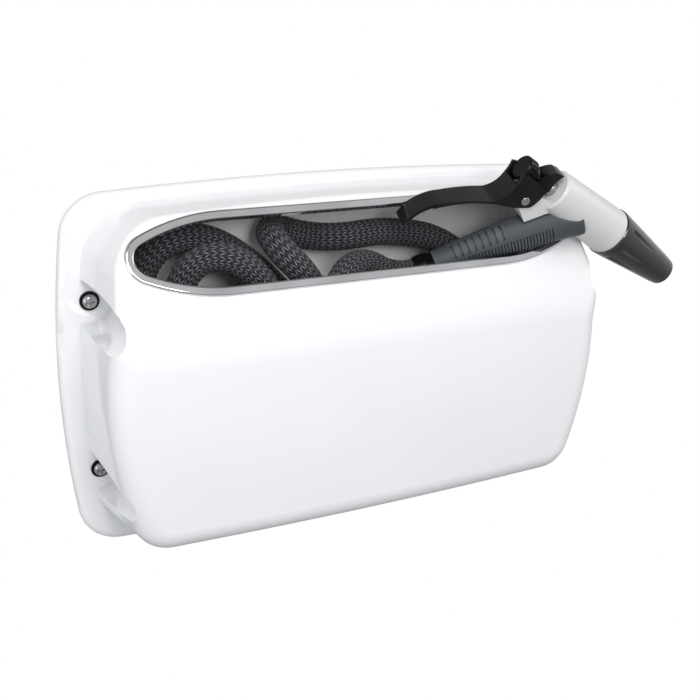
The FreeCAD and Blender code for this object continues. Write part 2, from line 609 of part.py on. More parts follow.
elbow = solid_body("inlet_elbow")
elbowStart = "(%s+InletNutHigh+FitGap)" % nutStart
elbowEnd = "(ElbowDepth+ElbowRadius*1.15)"
loop = [
    ("InletRadius+ThreadGap", "-" + elbowStart), ("ElbowRadius*1.35", "-" + elbowStart),
    ("ElbowRadius*1.35", "-(PocketStart+InletNeck)"), ("ElbowRadius*1.2", "-" + elbowEnd), ("0", "-" + elbowEnd),
    ("0", "-(PocketStart+InletNeck+ThreadGap)"), ("InletRadius+ThreadGap", "-(PocketStart+InletNeck+ThreadGap)"),
]
turned(elbow, sketch(elbow, "elbowOutline", "XY", [loop]), axis="Y_Axis")
spigotFrom = "(InletRadius+ThreadGap)"
drawing = sketch(elbow, "spigotOutline", "YZ", [("circle", "-ElbowDepth", "0", "ElbowRadius*0.85")],
                 "-" + spigotFrom)
feature(elbow, "Pad", drawing, "ElbowReach-" + spigotFrom, flip=True)
onInlet(elbow)

inletCollar = solid_body("hose_inlet_collar")
tubeEnd = "CollarLong-CollarGrip"
loop = [
    ("0", "0"), ("0", "CollarRadius-CollarGroove"), ("CollarLong*0.12", "CollarRadius"),
    ("CollarLong*0.3", "CollarRadius"), ("CollarLong*0.36", "CollarRadius-CollarGroove"),
    ("CollarLong*0.42", "CollarRadius"), ("CollarLong*0.56", "CollarRadius"),
    ("CollarLong*0.62", "CollarRadius-CollarGroove"), ("CollarLong*0.68", "CollarRadius"),
    ("CollarLong*0.92", "CollarRadius"), ("CollarLong", "CollarRadius-CollarGroove"),
    ("CollarLong", "HoseRadius+HoseGap"), (tubeEnd, "HoseRadius+HoseGap"), (tubeEnd, "0"),
]
turned(inletCollar, sketch(inletCollar, "collarOutline", "XY", [loop]))
place(inletCollar, ("InletX-ElbowReach", "-ElbowDepth", "InletZ"), "rotation(vector(0; 0; 1); 180)")
doc.recompute()


# Nozzle: each piece is drawn in the nozzle's own axes, X along the barrel, Z up beside it
nozzleTurn = "rotation(NozzleYaw; NozzlePitch; NozzleRoll)"
nozzleSpot = ("NozzleX", "-(MouthDepth+NozzleAhead)", "NozzleZ")


def onNozzle(made):
    place(made, nozzleSpot, nozzleTurn)
    doc.recompute()


def onHandle(made):
    """X along the handle, away from the barrel."""
    spot = "vector(%s; %s; %s)" % tuple(link(part) for part in nozzleSpot)
    turn = "placement(vector(0; 0; 0); rotation(vector(0; 1; 0); %s))" % link("HandleAngle")
    made.setExpression("Placement", "placement(%s; %s) * %s" % (spot, link(nozzleTurn), turn))
    doc.recompute()


casting = solid_body("nozzle_body_casting")
rearHole = "(GlandNeckRadius+GlandGap)"
ringAt, ringMiddle = "(BarrelFront+SpigotLong*0.55)", "(SpigotRadius-RingSealWire)"
loop = [
    ("-BarrelRear", "0"), ("-BarrelRear", "BarrelRearRadius-BarrelEdge"),
    ("BarrelEdge-BarrelRear", "BarrelRearRadius"), ("BarrelFront", "BarrelFrontRadius"),
    ("BarrelFront", "SpigotRadius"), (ringAt + "-RingSealWire", "SpigotRadius"),
    (ringAt + "-RingSealWire", ringMiddle + "-RingSealWire"),
    (ringAt + "+RingSealWire", ringMiddle + "-RingSealWire"), (ringAt + "+RingSealWire", "SpigotRadius"),
    ("BarrelFront+SpigotLong", "SpigotRadius"), ("BarrelFront+SpigotLong", "0"),
]
turned(casting, sketch(casting, "barrelOutline", "XZ", [loop]))
rod = casting.newObject("PartDesign::AdditiveCylinder", "handleCore")
rod.setExpression("Radius", link("CoreRadius"))
rod.setExpression("Height", link("CoreEnd"))
rod.setExpression("Placement", link("placement(vector(0; 0; 0); rotation(vector(0; 1; 0); HandleAngle+90))"))
doc.recompute()
handleS, handleT = ("cos(HandleAngle)", "-sin(HandleAngle)"), ("-sin(HandleAngle)", "-cos(HandleAngle)")


def onGrid(s, t):
    """A point s along the handle and t towards the lever, in barrel axes."""
    u = "((%s)*%s+(%s)*%s)" % (s, handleS[0], t, handleT[0])
    return u, "((%s)*%s+(%s)*%s)" % (s, handleS[1], t, handleT[1])


gripTop = "(GripNeckRadius+FitGap)"
eyeTop, eyeSide = "(PivotV+LugEye)", "(PivotU-LugEye)"
lug = [
    ("-BarrelRear+BarrelEdge*2", "-StemRadius*2"), ("-BarrelRear-StemRadius", "-GlandRadius-BarrelEdge"),
    ("PivotU", eyeTop, ("PivotU-LugEye*sin(45)", "PivotV+LugEye*cos(45)")), (eyeSide, "PivotV",
     ("PivotU-LugEye*sin(45)", "PivotV-LugEye*cos(45)")), ("PivotU", "PivotV-LugEye"),
    onGrid("LugEye*7.4", gripTop), onGrid("LugEye*4.1", gripTop),
]
feature(casting, "Pad", sketch(casting, "lugOutline", "XZ", [lug]), "2*LugHalf", both=True)
bores = [
    ("-BarrelRear-BarrelEdge", "0"), ("-BarrelRear-BarrelEdge", rearHole), ("GlandNeck-BarrelRear", rearHole),
    ("GlandNeck-BarrelRear", "StemRadius+GlandGap"), ("-ChamberRear", "StemRadius+GlandGap"),
    ("-ChamberRear", "ChamberRadius"), ("SeatAt", "ChamberRadius"), ("SeatAt", "OutletRadius"),
    ("BarrelFront+SpigotLong+BarrelEdge", "OutletRadius"), ("BarrelFront+SpigotLong+BarrelEdge", "0"),
]
turned(casting, sketch(casting, "boreOutline", "XZ", [bores]), "Groove")
drawing = sketch(casting, "pivotHole", "XZ", [("circle", "PivotU", "PivotV", "PinRadius+PinGap/2")])
feature(casting, "Pocket", drawing, "4*LugHalf", both=True)
bore = casting.newObject("PartDesign::SubtractiveCylinder", "handleBore")
bore.setExpression("Radius", link("CoreBore"))
bore.setExpression("Height", link("CoreEnd+Overrun"))
bore.setExpression("Placement", link("placement(vector(0; 0; 0); rotation(vector(0; 1; 0); HandleAngle+90))"))
doc.recompute()
casting.Tip = bore
onNozzle(casting)

# Grip: oval sections along the handle, a saddle against the barrel, ribs below and slots above
gripStations = [
    ("GripStart", "GripHeadHalf", "GripHeadRadius", "0"), ("GripNeck", "GripNeckRadius", "GripNeckHalf", "0"),
    ("GripMid", "GripMidRadius", "GripMidHalf", "GripShift/2"), ("GripLow", "GripLowRadius", "GripLowHalf", "GripShift"),
    ("CoreEnd", "GripEndRadius", "GripEndHalf", "0"),
]
acrossHandle = "rotation(vector(0; 1; 0); 90)"


def gripLoft(name, less):
    ovals = []
    for number, (s, major, minor, shift) in enumerate(gripStations):
        oval = doc.addObject("Part::Ellipse", "%sOval%d" % (name, number))
        oval.setExpression("MajorRadius", link("%s-%s" % (major, less)))
        oval.setExpression("MinorRadius", link("%s-%s" % (minor, less)))
        place(oval, (s, "0", "-(%s)" % shift), acrossHandle)
        ovals.append(oval)
    loft = doc.addObject("Part::Loft", name)
    loft.Sections, loft.Solid, loft.Ruled = ovals, True, False
    doc.recompute()
    return loft


gripSkin = gripLoft("gripSkin", "0")
gripCore = gripLoft("gripCore", "RibDeep")


def box(name, sizesXYZ, base):
    made = doc.addObject("Part::Box", name)
    for side, text in zip(("Length", "Width", "Height"), sizesXYZ):
        made.setExpression(side, link(text))
    place(made, base)
    return made


ribCount, slotCount = 27, 8
ribSize = ("RibWide", "GripHeadRadius", "GripHeadRadius")
ribs = [box("rib%d" % n, ribSize, ("RibStart+%d*RibPitch" % n, "-GripHeadRadius*1.1", "-GripHeadRadius*0.25"))
        for n in range(ribCount)]
slots = [box("slot%d" % n, ("SlotWide", "SlotLong", "SlotLong"),
             ("SlotStart+%d*SlotPitch" % n, "-SlotLong-GripShift", "-GripMidRadius*1.1")) for n in range(slotCount)]
ribbed = join("Cut", "ribbedGrip", (gripSkin, join("Compound", "gripNotches", ribs + slots)))
filled = join("MultiFuse", "filledGrip", [ribbed, gripCore])
slope = "((BarrelFrontRadius-BarrelRearRadius)/(BarrelFront+BarrelRear-BarrelEdge))"
saddle = doc.addObject("Part::Cone", "barrelSaddle")
saddle.setExpression("Radius1", link("BarrelRearRadius+GripGap-%s*Overrun" % slope))
saddle.setExpression("Radius2", link("BarrelFrontRadius+GripGap+%s*Overrun" % slope))
saddle.setExpression("Height", link("BarrelFront+BarrelRear-BarrelEdge+2*Overrun"))
saddleU = "(BarrelEdge-BarrelRear-Overrun)"
place(saddle, (saddleU + "*cos(HandleAngle)", "0", saddleU + "*sin(HandleAngle)"),
      "rotation(vector(0; 1; 0); 90-HandleAngle)")
coreClear = cylinder("coreClear", "CoreRadius+GripGap", "2*CoreEnd", ("-CoreEnd/2", "0", "0"), acrossHandle)
grip = join("Cut", "nozzle_grip", (filled, join("Compound", "gripCuts", [saddle, coreClear])))
onHandle(grip)

outletCollar = solid_body("hose_outlet_collar")
hoseStop = "OutletCollarEnd-OutletCollarGrip"
loop = [
    ("CoreEnd", "CoreBore"), ("CoreEnd", "GripEndRadius*0.9"), ("CoreEnd+CollarGroove*2", "GripEndHalf"),
    (hoseStop, "OutletCollarRadius"), ("OutletCollarEnd-CollarGroove*2", "OutletCollarRadius"),
    ("OutletCollarEnd", "OutletCollarRadius-CollarGroove"), ("OutletCollarEnd", "HoseRadius+HoseGap"),
    (hoseStop, "HoseRadius+HoseGap"), (hoseStop, "CoreBore"),
]
turned(outletCollar, sketch(outletCollar, "outletOutline", "XZ", [loop]))
onHandle(outletCollar)

# Lever: an open channel with a web on the upper side and two cheeks round the pivot lug.
# Its outline is given as shares of the span from the barrel's middle to the lever's tail.
lever_shares = [
    (-1.122, -0.775), (-1.118, -0.679, (-1.064, -0.564)), (-0.975, -0.475, (-0.852, -0.376)),
    (-0.720, -0.290, (-0.664, -0.208)), (-0.658, -0.115, (-0.664, -0.066)), (-0.680, -0.020),
    (-0.645, -0.006), (-0.446, -0.006, (-0.430, -0.080)), (-0.447, -0.174, (-0.542, -0.234)),
    (-0.657, -0.281, (-0.872, -0.414)), (-1.040, -0.586, (-1.079, -0.649)), (-1.101, -0.717),
]
web_shares = [
    (-1.096, -0.950), (-1.095, -0.686, (-1.045, -0.578)), (-0.959, -0.493, (-0.839, -0.395)),
    (-0.706, -0.309, (-0.639, -0.216)), (-0.633, -0.105), (-0.750, -0.105), (-0.750, 0.010),
    (-0.526, 0.010), (-0.524, -0.006), (-0.520, -0.045), (-0.350, -0.045), (-0.350, -0.950),
]
horn_shares = [
    (-0.522, -0.045), (-0.518, -0.018, (-0.490, 0.062)), (-0.430, 0.121), (-0.375, 0.129, (-0.391, 0.066)),
    (-0.389, -0.010), (-0.389, -0.045),
]
taper_shares = [(-1.250, 0.076), (-0.640, 0.112), (-0.640, 0.250), (-1.250, 0.250)]


def spread(shares):
    at = lambda pair: ("LeverSpan*%s" % pair[0], "LeverSpan*%s" % pair[1])
    return [at(share) + tuple(at(via) for via in share[2:]) for share in shares]


lever = solid_body("nozzle_lever")
feature(lever, "Pad", sketch(lever, "leverOutline", "XZ", [spread(lever_shares)]), "2*LeverHalf", both=True)
inner = sketch(lever, "channel", "XZ", [spread(web_shares)])
feature(lever, "Pocket", inner, "2*(LeverHalf-CheekThick)", both=True)
drawing = sketch(lever, "leverPivot", "XZ", [("circle", "PivotU", "PivotV", "PinRadius+PinGap/2")])
feature(lever, "Pocket", drawing, "4*LeverHalf", both=True)
horn = feature(lever, "Pad", sketch(lever, "horn", "XZ", [spread(horn_shares)]), "2*HornHalf", both=True)
slotHalf, slotRear, slotFront = "StemSlotHalf", "(ArmRear-Overrun/4)", "(ArmFront+Overrun/4)"
slot = [(slotRear, "-" + slotHalf), (slotFront, "-" + slotHalf), (slotFront, slotHalf), (slotRear, slotHalf)]
feature(lever, "Pocket", sketch(lever, "stemSlot", "XZ", [slot]), "2*(StemRadius+StemSlotGap)", both=True)
relief = [(slotRear, "-StemSlotGap"), ("ArmRelief", "-StemSlotGap"), ("ArmRelief", "HubRadius*1.3"),
          (slotRear, "HubRadius*1.3")]
feature(lever, "Pocket", sketch(lever, "hubRelief", "XZ", [relief]), "2*(HubRadius+StemSlotGap*1.5)", both=True)
for number, side in enumerate(("", "-")):
    wedge = [("LeverSpan*%s" % u, "%sLeverSpan*%s" % (side, y)) for u, y in taper_shares]
    feature(lever, "Pocket", sketch(lever, "taper%d" % number, "XY", [wedge]), "4*LeverSpan", both=True)
onNozzle(lever)

stem = solid_body("valve_stem")
loop = [
    ("StemRear", "0"), ("StemRear", "StemRadius*0.8"), ("StemRear+StemRadius*0.3", "StemRadius"),
    ("StemHeadRear", "StemRadius"), ("StemHeadRear", "StemHeadRadius"),
    ("StemHeadFront", "StemHeadRadius"), ("StemHeadFront", "0"),
]
turned(stem, sketch(stem, "stemOutline", "XZ", [loop]))
onNozzle(stem)

seal = solid_body("valve_seal")
loop = [
    ("StemHeadFront", "0"), ("StemHeadFront", "SealRingRadius"), ("SeatAt-SeatGap*2", "SealRingRadius"),
    ("SeatAt-SeatGap", "SealRingRadius-SeatGap"), ("SeatAt-SeatGap", "0"),
]
turned(seal, sketch(seal, "sealOutline", "XZ", [loop]))
onNozzle(seal)

gland = solid_body("stem_gland")
loop = [
    ("-BarrelRear-GlandOut", "StemRadius+GlandGap"), ("-BarrelRear-GlandOut", "GlandRadius-GlandNeckGap"),
    ("-BarrelRear-GlandOut+GlandNeckGap", "GlandRadius"), ("-BarrelRear-GlandGap", "GlandRadius"),
    ("-BarrelRear-GlandGap", "GlandNeckRadius"), ("-BarrelRear+GlandNeck-GlandGap", "GlandNeckRadius"),
    ("-BarrelRear+GlandNeck-GlandGap", "StemRadius+GlandGap"),
]
turned(gland, sketch(gland, "glandOutline", "XZ", [loop]))
onNozzle(gland)

leverPin = solid_body("lever_pin")
pinHalf = "(LeverHalf+PinGap)"
half = "(%s+PinHeadThick)" % pinHalf
drawing = sketch(leverPin, "pinShank", "XZ", [("circle", "PivotU", "PivotV", "PinRadius")])
feature(leverPin, "Pad", drawing, "2*" + half, both=True)
for number, start in enumerate((pinHalf, "-(%s)" % half)):
    drawing = sketch(leverPin, "pinHead%d" % number, "XZ", [("circle", "PivotU", "PivotV", "PinHeadRadius")], start)
    pad = feature(leverPin, "Pad", drawing, "PinHeadThick")
outerRims = lambda edge: abs(abs(edge.CenterOfMass.y) - val(half)) < 1e-6
rounded(leverPin, pad, outerRims, "PinHeadThick*0.4")
onNozzle(leverPin)

knob = solid_body("flow_knob")
boreEnd = "(StemRear-PinGap)"
loop = [
    ("KnobRear", "0"), ("KnobRear", "KnobRadius-KnobEdge"), ("KnobRear+KnobEdge", "KnobRadius"),
    ("KnobShoulder-KnobEdge", "KnobRadius"), ("KnobShoulder", "KnobRadius-KnobEdge"),
    ("KnobShoulder", "HubRadius"), ("KnobFront", "HubRadius"), ("KnobFront", "StemRadius+KnobFit"),
    (boreEnd, "StemRadius+KnobFit"), (boreEnd, "0"),
]
turned(knob, sketch(knob, "knobOutline", "XZ", [loop]))
knobCount = 16
drawing = sketch(knob, "flute", "YZ", [("circle", "0", "KnobRadius+KnobFlute*0.4", "KnobFlute")],
                 "KnobRear+KnobEdge*2")
flute = feature(knob, "Pocket", drawing, "KnobShoulder-KnobRear-KnobEdge*4", flip=True)


def circular(body, base, count):
    ringOf = body.newObject("PartDesign::PolarPattern", "around")
    ringOf.Originals = [base]
    axes = {part.Role: part for part in body.Origin.OriginFeatures}
    ringOf.Axis = (axes["X_Axis"], [""])
    ringOf.Angle = 360
    ringOf.Occurrences = count
    body.Tip = ringOf
    doc.recompute()


circular(knob, flute, knobCount)
onNozzle(knob)

tip = solid_body("nozzle_tip")
tipStart = "(BarrelFront+TipGap)"
boreDeep = "(BarrelFront+SpigotLong+TipGap)"
loop = [
    (tipStart, "TipBoreRadius"), (tipStart, "TipRadius-TipEdge"), ("%s+TipEdge" % tipStart, "TipRadius"),
    ("%s+TipCollar" % tipStart, "TipRadius*0.985"), ("TipEnd-TipCollar", "TipFrontRadius+TipEdge"),
    ("TipEnd-TipEdge", "TipFrontRadius"), ("TipEnd", "TipFrontRadius-TipEdge"), ("TipEnd", "TipMouthRadius"),
    ("TipEnd-TipMouthDeep", "TipMouthRadius*0.8"), ("TipEnd-TipMouthDeep", "OutletRadius*0.6"),
    (boreDeep, "OutletRadius"), (boreDeep, "TipBoreRadius"),
]
turned(tip, sketch(tip, "tipOutline", "XZ", [loop]))
tipCount = 8
fluteLong = "(TipEnd-%s-TipCollar*3)" % tipStart
lean = "(atan((TipRadius-TipFrontRadius)/(TipEnd-%s)))" % tipStart
groove = tip.newObject("PartDesign::SubtractiveCylinder", "tipFlute")
groove.setExpression("Radius", link("TipFlute"))
groove.setExpression("Height", link(fluteLong))
groove.setExpression("Placement", "placement(%s; %s)" % (
    link("vector(%s+TipCollar*1.5; 0; TipRadius-TipFluteDeep+TipFlute-TipCollar*1.5*tan(%s))" % (tipStart, lean)),
    link("rotation(vector(0; 1; 0); 90deg+%s*0.5)" % lean)))
tip.Tip = groove
doc.recompute()
circular(tip, groove, tipCount)
onNozzle(tip)

oRing = doc.addObject("Part::Torus", "tip_o_ring")
oRing.setExpression("Radius1", link(ringMiddle))
oRing.setExpression("Radius2", link("RingSealWire"))
oRing.setExpression("Placement", "placement(%s; %s) * placement(%s; rotation(vector(0; 1; 0); 90))" % (
    link("vector(%s; %s; %s)" % nozzleSpot), link(nozzleTurn), link("vector(%s; 0; 0)" % ringAt)))
doc.recompute()

# Spring: a closed helix round the stem between the chamber's rear wall and the stem's head
springRear, springFront = "(-ChamberRear+SeatGap)", "(StemHeadRear-SeatGap)"
turns = 8
coilRadius, wire = val("SpringRadius"), val("SpringWire")
rise = val("%s-%s-2*SpringWire" % (springFront, springRear))
helix = Part.makeHelix(rise / turns, rise, coilRadius)
profile = Part.Wire(Part.makeCircle(wire, Vector(coilRadius, 0, 0), Vector(0, 1, 0)))
coil = Part.Wire(helix).makePipeShell([profile], True, True)
spring = doc.addObject("Part::Feature", "valve_spring")
coil.translate(Vector(0, 0, wire))
coil.rotate(Vector(), Vector(0, 1, 0), 90)
coil.translate(Vector(val(springRear), 0, 0))
spring.Shape = coil
spring.Placement = casting.Placement.multiply(spring.Placement)
doc.recompute()


# Hose: straight runs joined by arcs that touch them
hoseRoute = [
    (98, -22, -80), (52, -22, -80), (7, -18, -84), (-39, -17, -84), (-85, -18, -75), (-121, -18, -46),
    (-139, -16, -3), (-145, -17, 42), (-149, -23, 78), (-134, -28, 102), (-105, -26, 103), (-73, -19, 83),
    (-41, -16, 50), (-20, -16, 9), (-26, -23, -36), (-57, -34, -57), (-97, -46, -46), (-122, -51, -7),
    (-130, -47, 37), (-130, -44, 72), (-115, -45, 93), (-92, -51, 94), (-70, -53, 72), (-54, -47, 35),
    (-35, -54, -7), (-5, -63, -41), (37, -62, -62), (82, -56, -52), (103, -50, -18), (93, -44, 19),
    (53, -40, 39), (7, -38, 41), (-29, -37, 57), (-42, -55, 76), (-62, -48, 98), (-57, -18, 104),
    (-29, -15.5, 94), (-5, -26, 93), (32, -24, 95), (78, -26, 86), (111, -33, 54), (133, -23, 13),
    (135, -35, -33), (113, -59, -67), (72, -73, -82), (26, -74.3, -82), (-20, -74.3, -82), (-66, -73, -73),
    (-100, -74, -41), (-103, -75, 6), (-62, -76, 21.4), (-31.6, -69.9, 64.6), (-3.4, -48.8, 85), (27.1, -39.1, 59.7),
    (53.87, -47.75, 70.24),
]
bend_share = 0.45
tailFrom = 50
route = [Vector(*point) for point in hoseRoute]
inletEnd = Vector(val("InletX-ElbowReach-CollarLong+CollarGrip-FitGap/3"), -val("ElbowDepth"), val("InletZ"))
route[0] = inletEnd
handle = outletCollar.Placement
route[-1] = handle.multVec(Vector(val(hoseStop + "+FitGap/3"), 0, 0))
along = handle.Rotation.multVec(Vector(1, 0, 0))
route[-2] = handle.multVec(Vector(val("OutletCollarEnd+SpigotLong"), 0, 0))
split = (route[tailFrom] + route[tailFrom + 1]) * 0.5


def routeWire(points, name):
    """Runs and arcs of one hose piece; prints its least bend radius and its length."""
    parts, start, radii = [], points[0], []
    for before, corner, after in zip(points, points[1:], points[2:]):
        back, onward = before - corner, after - corner
        half = (math.pi - back.getAngle(onward)) / 2
        reach = bend_share * min(back.Length, onward.Length)
        radius = reach / math.tan(half)
        radii.append(radius)
        back.normalize()
        onward.normalize()
        first, last = corner + back * reach, corner + onward * reach
        middle = back + onward
        middle.normalize()
        via = corner + middle * (radius / math.cos(half) - radius)
        parts.append(Part.LineSegment(start, first).toShape())
        parts.append(Part.Arc(first, via, last).toShape())
        start = last
    parts.append(Part.LineSegment(start, points[-1]).toShape())
    wire = Part.Wire(parts)
    print(name, "least bend radius", round(min(radii), 1), "length", round(wire.Length, 1))
    return wire


def hosePiece(name, points):
    wire = routeWire(points, name)
    along = points[1] - points[0]
    section = Part.Wire(Part.makeCircle(val("HoseRadius"), points[0], along))
    tube = wire.makePipeShell([section], True, False)
    made = doc.addObject("Part::Feature", name)
    made.Shape = tube
    full = math.pi * val("HoseRadius") ** 2 * wire.Length
    print(name, "volume over section times length", round(tube.Volume / full, 4))
    return made, wire


loops, loopWire = hosePiece("hose", route[:tailFrom + 1] + [split])
tailPiece, tailWire = hosePiece("hose_tail", [split] + route[tailFrom + 1:])


def leastGap(wires):
    """The least gap of the hose to itself between points that are well apart along it."""
    points = []
    for wire in wires:
        points += wire.discretize(Distance=val("HoseRadius") / 2)
    apart = int(8 + 0.5)
    least = min((here - there).Length for index, here in enumerate(points) for there in points[index + apart:])
    print("hose least gap to itself", round(least - 2 * val("HoseRadius"), 2))


leastGap([loopWire, tailWire])
doc.recompute()

nodes = [
    housing, panel, gasket, panelScrews, ring, mountScrews, washers, bulkhead, nut, sealWasher, elbow,
    inletCollar, loops, tailPiece, casting, grip, outletCollar, gland, oRing, spring, leverPin, lever, stem,
    seal, knob, tip,
]
for item in doc.Objects:
    if "Invalid" in item.State or "Error" in item.State:
        print("state", item.Name, item.State)
total = 0
for item in nodes:
    shape = item.Shape
    if shape.isNull() or not shape.isValid():
        print("shape not sound:", item.Name)
        continue
    box3 = shape.BoundBox
    total += shape.Volume
    print("%-22s solids %2d volume %10.1f x %7.1f %7.1f y %7.1f %6.1f z %7.1f %6.1f" % (
        item.Name, len(shape.Solids), shape.Volume, box3.XMin, box3.XMax, box3.YMin, box3.YMax,
        box3.ZMin, box3.ZMax))
    shape.exportStep("parts/%s.step" % item.Name)
doc.saveAs("model.FCStd")
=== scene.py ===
import math
import bpy
from mathutils import Matrix, Vector


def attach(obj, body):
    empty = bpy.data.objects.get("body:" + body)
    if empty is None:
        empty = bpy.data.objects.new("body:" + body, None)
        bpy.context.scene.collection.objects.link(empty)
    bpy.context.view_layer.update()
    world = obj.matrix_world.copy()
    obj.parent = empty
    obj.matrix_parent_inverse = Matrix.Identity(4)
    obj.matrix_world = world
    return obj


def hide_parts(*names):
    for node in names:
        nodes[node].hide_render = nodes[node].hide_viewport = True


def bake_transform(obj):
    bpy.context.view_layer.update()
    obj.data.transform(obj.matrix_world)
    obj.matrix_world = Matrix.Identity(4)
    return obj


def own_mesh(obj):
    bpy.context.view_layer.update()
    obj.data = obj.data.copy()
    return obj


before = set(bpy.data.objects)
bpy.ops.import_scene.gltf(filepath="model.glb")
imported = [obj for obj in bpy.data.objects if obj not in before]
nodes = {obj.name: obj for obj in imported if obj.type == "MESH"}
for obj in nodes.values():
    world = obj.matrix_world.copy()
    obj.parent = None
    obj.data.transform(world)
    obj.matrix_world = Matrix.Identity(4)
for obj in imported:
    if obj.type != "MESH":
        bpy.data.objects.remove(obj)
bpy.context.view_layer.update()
print("stage: frame loaded")

# What a user would change: one dictionary per piece or finish
cameraSet = {"place": (-0.3067, -0.6519, 0.2648), "yaw": 26.5, "pitch": 20.21, "roll": 1.5, "lens": 52.18}
hoseSet = {
    "radius": 0.00975, "fine": 26, "around": 40, "foldDepth": 0.0007,
    "foldPitch": 0.0052, "tightBend": 0.045, "tailFrom": 50, "columns": 15.0, "stitch": 0.0043,
    "clearShare": 0.2, "loopStep": 6, "tailStep": 4, "bendWindow": 4,
}
lightAim = (0.0, -0.04, 0.06)
lights = {
    "key": {"power": 3.9, "size": 0.4, "place": (-0.28, -0.72, 0.72)},
    "low": {"power": 1.9, "size": 0.22, "place": (-0.12, -0.80, 0.37)},
    "side": {"power": 1.6, "size": 0.5, "place": (-0.95, -0.35, 0.15)},
    "rim": {"power": 2.0, "size": 0.5, "place": (0.9, -0.35, 0.55)},
}
skySet = {
    "low": (0.33, 0.335, 0.345, 1), "middle": (0.68, 0.69, 0.71, 1), "top": (0.66, 0.66, 0.67, 1),
    "zenith": (0.16, 0.16, 0.17, 1),
    "lowBand": (-0.75, 0.0), "highBand": (0.0, 0.6), "zenithBand": (0.80, 0.93),
}
plasticSet = {"color": (0.80, 0.808, 0.818, 1), "roughness": 0.16, "grain": 900.0, "bump": 0.02}
panelSet = {"color": (0.93, 0.93, 0.93, 1), "roughness": 0.45, "grain": 500.0, "bump": 0.08}
barrelSet = {"color": (0.57, 0.57, 0.565, 1), "roughness": 0.38, "grain": 1500.0, "bump": 0.05}
blackSet = {"color": (0.003, 0.003, 0.003, 1), "roughness": 0.26, "grain": 1100.0, "bump": 0.03}
tipSet = {"color": (0.006, 0.006, 0.006, 1), "roughness": 0.2, "grain": 1100.0, "bump": 0.02}
gripSet = {"color": (0.048, 0.054, 0.064, 1), "roughness": 0.62, "grain": 2600.0, "bump": 0.18}
foamSet = {"color": (0.02, 0.02, 0.022, 1), "roughness": 0.85, "grain": 1400.0, "bump": 0.4}
rubberSet = {"color": (0.012, 0.012, 0.012, 1), "roughness": 0.6, "grain": 1800.0, "bump": 0.15}
steelSet = {"color": (0.44, 0.44, 0.45, 1), "roughness": 0.24, "stretch": (1.0, 60.0, 60.0), "grain": 60.0}
trimSet = {"color": (0.66, 0.665, 0.67, 1), "roughness": 0.05, "stretch": (1.0, 12.0, 12.0), "grain": 90.0}
brassSet = {"color": (0.60, 0.42, 0.17, 1), "roughness": 0.3, "stretch": (30.0, 30.0, 2.0), "grain": 70.0}

# Shared effects: bands are (from, to) or (from, to, first, last), depths in metres
mouldEffect = {
    "fineDetail": 3, "driftScale": 14, "driftDetail": 4, "drift": (0.3, 0.7, 0.985, 1.01),
    "roughDrift": (0.35, 0.75, -0.01, 0.03), "edge": (0.52, 0.6), "worn": (0.85, 0.86, 0.88, 1),
    # The next two set the reach and band of the painted shade in small recesses
    "recessReach": 0.003, "recess": (0.35, 0.85), "bumpDepth": 0.0004,
}
metalEffect = {
    "lineDetail": 5, "tarnishScale": 25, "tarnish": (0.3, 0.7, 0.86, 1.08),
    "roughDrift": (0.3, 0.7, -0.05, 0.09), "bump": 0.06, "bumpDepth": 0.0002,
}
weaveEffect = {
    "wobbleScale": 260, "wobble": 0.28, "slant": 0.85, "stitch": (0.15, 0.8), "ridge": (0.02, 0.35, 0.35, 1),
    # Among the bands below, the yarn band fades the painted gap shade into the yarn colour and the band
    # after it places the painted highlight on the stitch tops
    "valley": (0.66, 1.0, 1, 0.12), "fibreScale": 3200, "fibre": 0.22, "yarn": (0.0, 0.45),
    "paintedHighlightBand": (0.62, 1.1), "rough": (0.85, 0.5), "bumpDepth": 0.0013,
}


# A node group with named sockets; gives back its tree, its inputs and its outputs
def groupOf(name, inputs, outputs):
    tree = bpy.data.node_groups.new(name, "ShaderNodeTree")
    for title, kind, value in inputs:
        socket = tree.interface.new_socket(title, in_out="INPUT", socket_type="NodeSocket" + kind)
        socket.default_value = value
    for title, kind in outputs:
        tree.interface.new_socket(title, in_out="OUTPUT", socket_type="NodeSocket" + kind)
    return tree, tree.nodes.new("NodeGroupInput"), tree.nodes.new("NodeGroupOutput")


def put(tree, kind, operation=None, values=(), **settings):
    node = tree.nodes.new("ShaderNode" + kind)
    if operation:
        node.operation = operation
    for name, value in settings.items():
        setattr(node, name, value)
    for slot, value in enumerate(values):
        if value is None:
            continue
        if isinstance(value, bpy.types.NodeSocket):
            tree.links.new(value, node.inputs[slot])
        else:
            node.inputs[slot].default_value = value
    return node


def calc(tree, operation, *values):
    return put(tree, "Math", operation, values).outputs[0]


softly = {"interpolation_type": "SMOOTHSTEP"}


def ramp(tree, value, low, high, first, last, **settings):
    return put(tree, "MapRange", values=(value, low, high, first, last), **settings).outputs[0]


def blendColor(tree, factor, first, second):
    node = put(tree, "Mix", data_type="RGBA")
    for title, value in (("Factor", factor), ("A", first), ("B", second)):
        socket = [one for one in node.inputs if one.name == title and one.enabled][0]
        if isinstance(value, bpy.types.NodeSocket):
            tree.links.new(value, socket)
        else:
            socket.default_value = value
    return [one for one in node.outputs if one.enabled][0]
